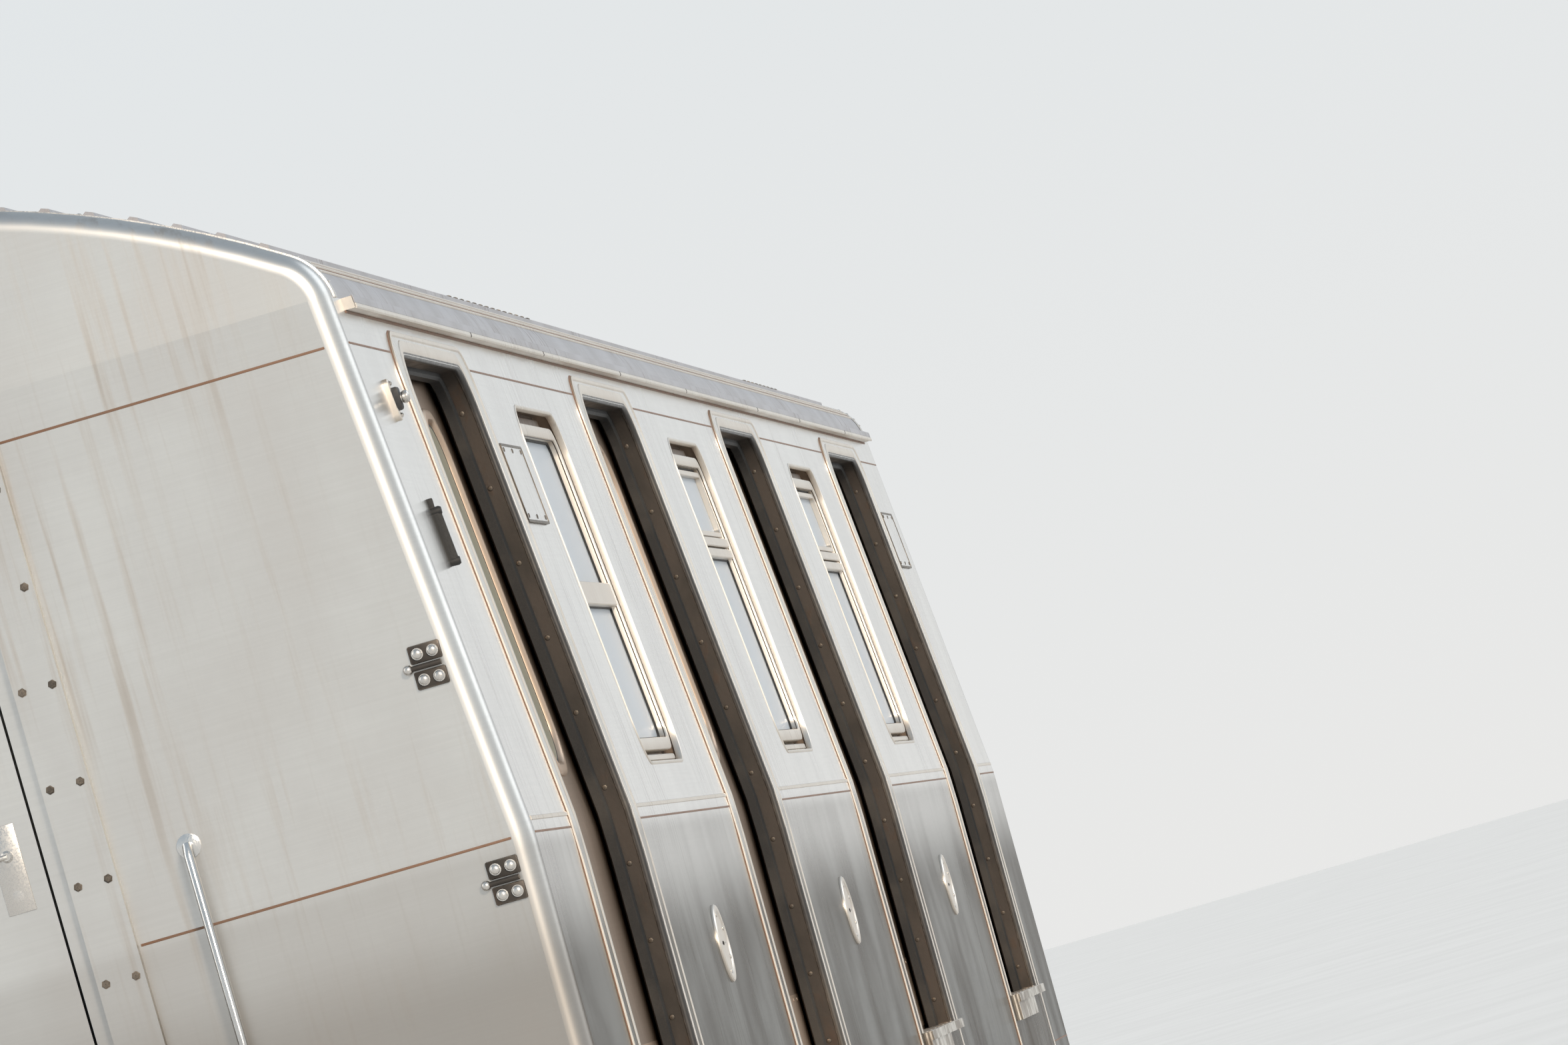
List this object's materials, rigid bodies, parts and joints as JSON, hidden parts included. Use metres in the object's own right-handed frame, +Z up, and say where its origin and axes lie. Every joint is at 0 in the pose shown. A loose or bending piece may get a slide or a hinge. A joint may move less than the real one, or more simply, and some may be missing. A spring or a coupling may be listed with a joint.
{
  "type": "metro car",
  "caption": "Stainless metro car body without a driving cab, with sliding side doors, end doors, couplers and powered bogies on rolling wheelsets.",
  "frame": {"origin": "centre of the box around the car, at its lowest plane, where the wheel flanges stand", "axes": "+X along the car towards the front end, +Y to the car's left side, +Z up"},
  "size_m": [18.35, 2.9812, 3.7276],
  "materials": {
    "stainless": "brushed, mirror-like at a low angle",
    "door_frame_steel": "brushed, with dark riveted reveals",
    "leaf_steel": "brushed, reflecting warm light",
    "sash": "satin, cream with age",
    "glass": "tinted, green grey",
    "roof_steel": "satin, dusty",
    "roof_black": "dark coating",
    "tread_plate": "ribbed, worn bright",
    "fitting_steel": "satin",
    "interior_panel": "smooth",
    "lamp": "milky diffuser",
    "floor": "speckled",
    "underframe_black": "black with brake dust",
    "case_grey": "dark grey, dusty",
    "grid_steel": "heat-stained",
    "seat_shell": "moulded",
    "pole_steel": "polished",
    "cast_steel": "brown with brake dust",
    "wheel_steel": "bright tread, rusty web",
    "spring_rubber": "dusty black"
  },
  "bodies": {
    "carbody": {"air_tanks": "case_grey", "body_bolsters": "underframe_black", "cant_rails": "stainless", "ceiling": "interior_panel", "ceiling_lights": "lamp", "centre_sill": "underframe_black", "cross_bearers": "underframe_black", "door_frames": "door_frame_steel", "end_sills": "underframe_black", "end_wall_front": "stainless", "end_wall_rear": "stainless", "equipment_cases": "case_grey", "floor_deck": "floor", "gate_brackets": "fitting_steel", "grab_poles": "pole_steel", "number_plates": "fitting_steel", "resistor_grids": "grid_steel", "roof_end_caps": "stainless", "roof_hatches": "roof_black", "roof_shell": "roof_steel", "seats": "seat_shell", "side_panels_left": "stainless", "side_panels_right": "stainless", "thresholds": "tread_plate", "wall_linings": "interior_panel", "window_frames": "sash", "window_panes": "glass"},
    "doors_left_rearward": {"door_leaves_left_rearward": "leaf_steel", "door_panes_left_rearward": "glass"},
    "doors_left_forward": {"door_leaves_left_forward": "leaf_steel", "door_panes_left_forward": "glass"},
    "doors_right_rearward": {"door_leaves_right_rearward": "leaf_steel", "door_panes_right_rearward": "glass"},
    "doors_right_forward": {"door_leaves_right_forward": "leaf_steel", "door_panes_right_forward": "glass"},
    "end_door_rear": {"end_door_rear": "leaf_steel", "end_door_pane_rear": "glass"},
    "coupler_rear": {"coupler_rear": "cast_steel"},
    "bogie_rear": {"bogie_frame_rear": "cast_steel", "bogie_bolster_rear": "cast_steel", "bogie_springs_rear": "spring_rubber", "axle_boxes_rear": "cast_steel", "traction_motors_rear": "case_grey", "bogie_gear_rear": "cast_steel"},
    "end_door_front": {"end_door_front": "leaf_steel", "end_door_pane_front": "glass"},
    "coupler_front": {"coupler_front": "cast_steel"},
    "bogie_front": {"bogie_frame_front": "cast_steel", "bogie_bolster_front": "cast_steel", "bogie_springs_front": "spring_rubber", "axle_boxes_front": "cast_steel", "traction_motors_front": "case_grey", "bogie_gear_front": "cast_steel"},
    "wheelset_1": {"wheelset_1": "wheel_steel"},
    "wheelset_2": {"wheelset_2": "wheel_steel"},
    "wheelset_3": {"wheelset_3": "wheel_steel"},
    "wheelset_4": {"wheelset_4": "wheel_steel"}
  },
  "joints": [
    {"name": "slide_doors_left_forward", "type": "slide", "parent": "carbody", "child": "doors_left_forward", "axis": [1, 0, 0], "range_m": [0, 0.7]},
    {"name": "slide_doors_left_rearward", "type": "slide", "parent": "carbody", "child": "doors_left_rearward", "axis": [-1, 0, 0], "range_m": [0, 0.7]},
    {"name": "slide_doors_right_forward", "type": "slide", "parent": "carbody", "child": "doors_right_forward", "axis": [1, 0, 0], "range_m": [0, 0.7]},
    {"name": "slide_doors_right_rearward", "type": "slide", "parent": "carbody", "child": "doors_right_rearward", "axis": [-1, 0, 0], "range_m": [0, 0.7]},
    {"name": "swing_end_door_front", "type": "hinge", "parent": "carbody", "child": "end_door_front", "pos_m": [8.614, 0.392, 0], "axis": [0, 0, -1], "range_deg": [0, 90]},
    {"name": "swing_coupler_front", "type": "hinge", "parent": "carbody", "child": "coupler_front", "pos_m": [8.39, 0, 0.788], "axis": [0, 0, 1], "range_deg": [-12, 12]},
    {"name": "turn_bogie_front", "type": "hinge", "parent": "carbody", "child": "bogie_front", "pos_m": [6.795, 0, 0.928], "axis": [0, 0, 1], "range_deg": [-6, 6]},
    {"name": "swing_end_door_rear", "type": "hinge", "parent": "carbody", "child": "end_door_rear", "pos_m": [-8.614, 0.392, 0], "axis": [0, 0, 1], "range_deg": [0, 90]},
    {"name": "swing_coupler_rear", "type": "hinge", "parent": "carbody", "child": "coupler_rear", "pos_m": [-8.39, 0, 0.788], "axis": [0, 0, 1], "range_deg": [-12, 12]},
    {"name": "turn_bogie_rear", "type": "hinge", "parent": "carbody", "child": "bogie_rear", "pos_m": [-6.795, 0, 0.928], "axis": [0, 0, 1], "range_deg": [-6, 6]},
    {"name": "roll_wheelset_1", "type": "hinge", "parent": "bogie_rear", "child": "wheelset_1", "pos_m": [-7.8365, 0, 0.46], "axis": [0, 1, 0], "continuous": true},
    {"name": "roll_wheelset_2", "type": "hinge", "parent": "bogie_rear", "child": "wheelset_2", "pos_m": [-5.7535, 0, 0.46], "axis": [0, 1, 0], "continuous": true},
    {"name": "roll_wheelset_3", "type": "hinge", "parent": "bogie_front", "child": "wheelset_3", "pos_m": [5.7535, 0, 0.46], "axis": [0, 1, 0], "continuous": true},
    {"name": "roll_wheelset_4", "type": "hinge", "parent": "bogie_front", "child": "wheelset_4", "pos_m": [7.8365, 0, 0.46], "axis": [0, 1, 0], "continuous": true}
  ],
  "couplings": [
    {"joint": "slide_doors_left_rearward", "follows": "slide_doors_left_forward", "ratio": 1},
    {"joint": "slide_doors_right_rearward", "follows": "slide_doors_right_forward", "ratio": 1}
  ]
}
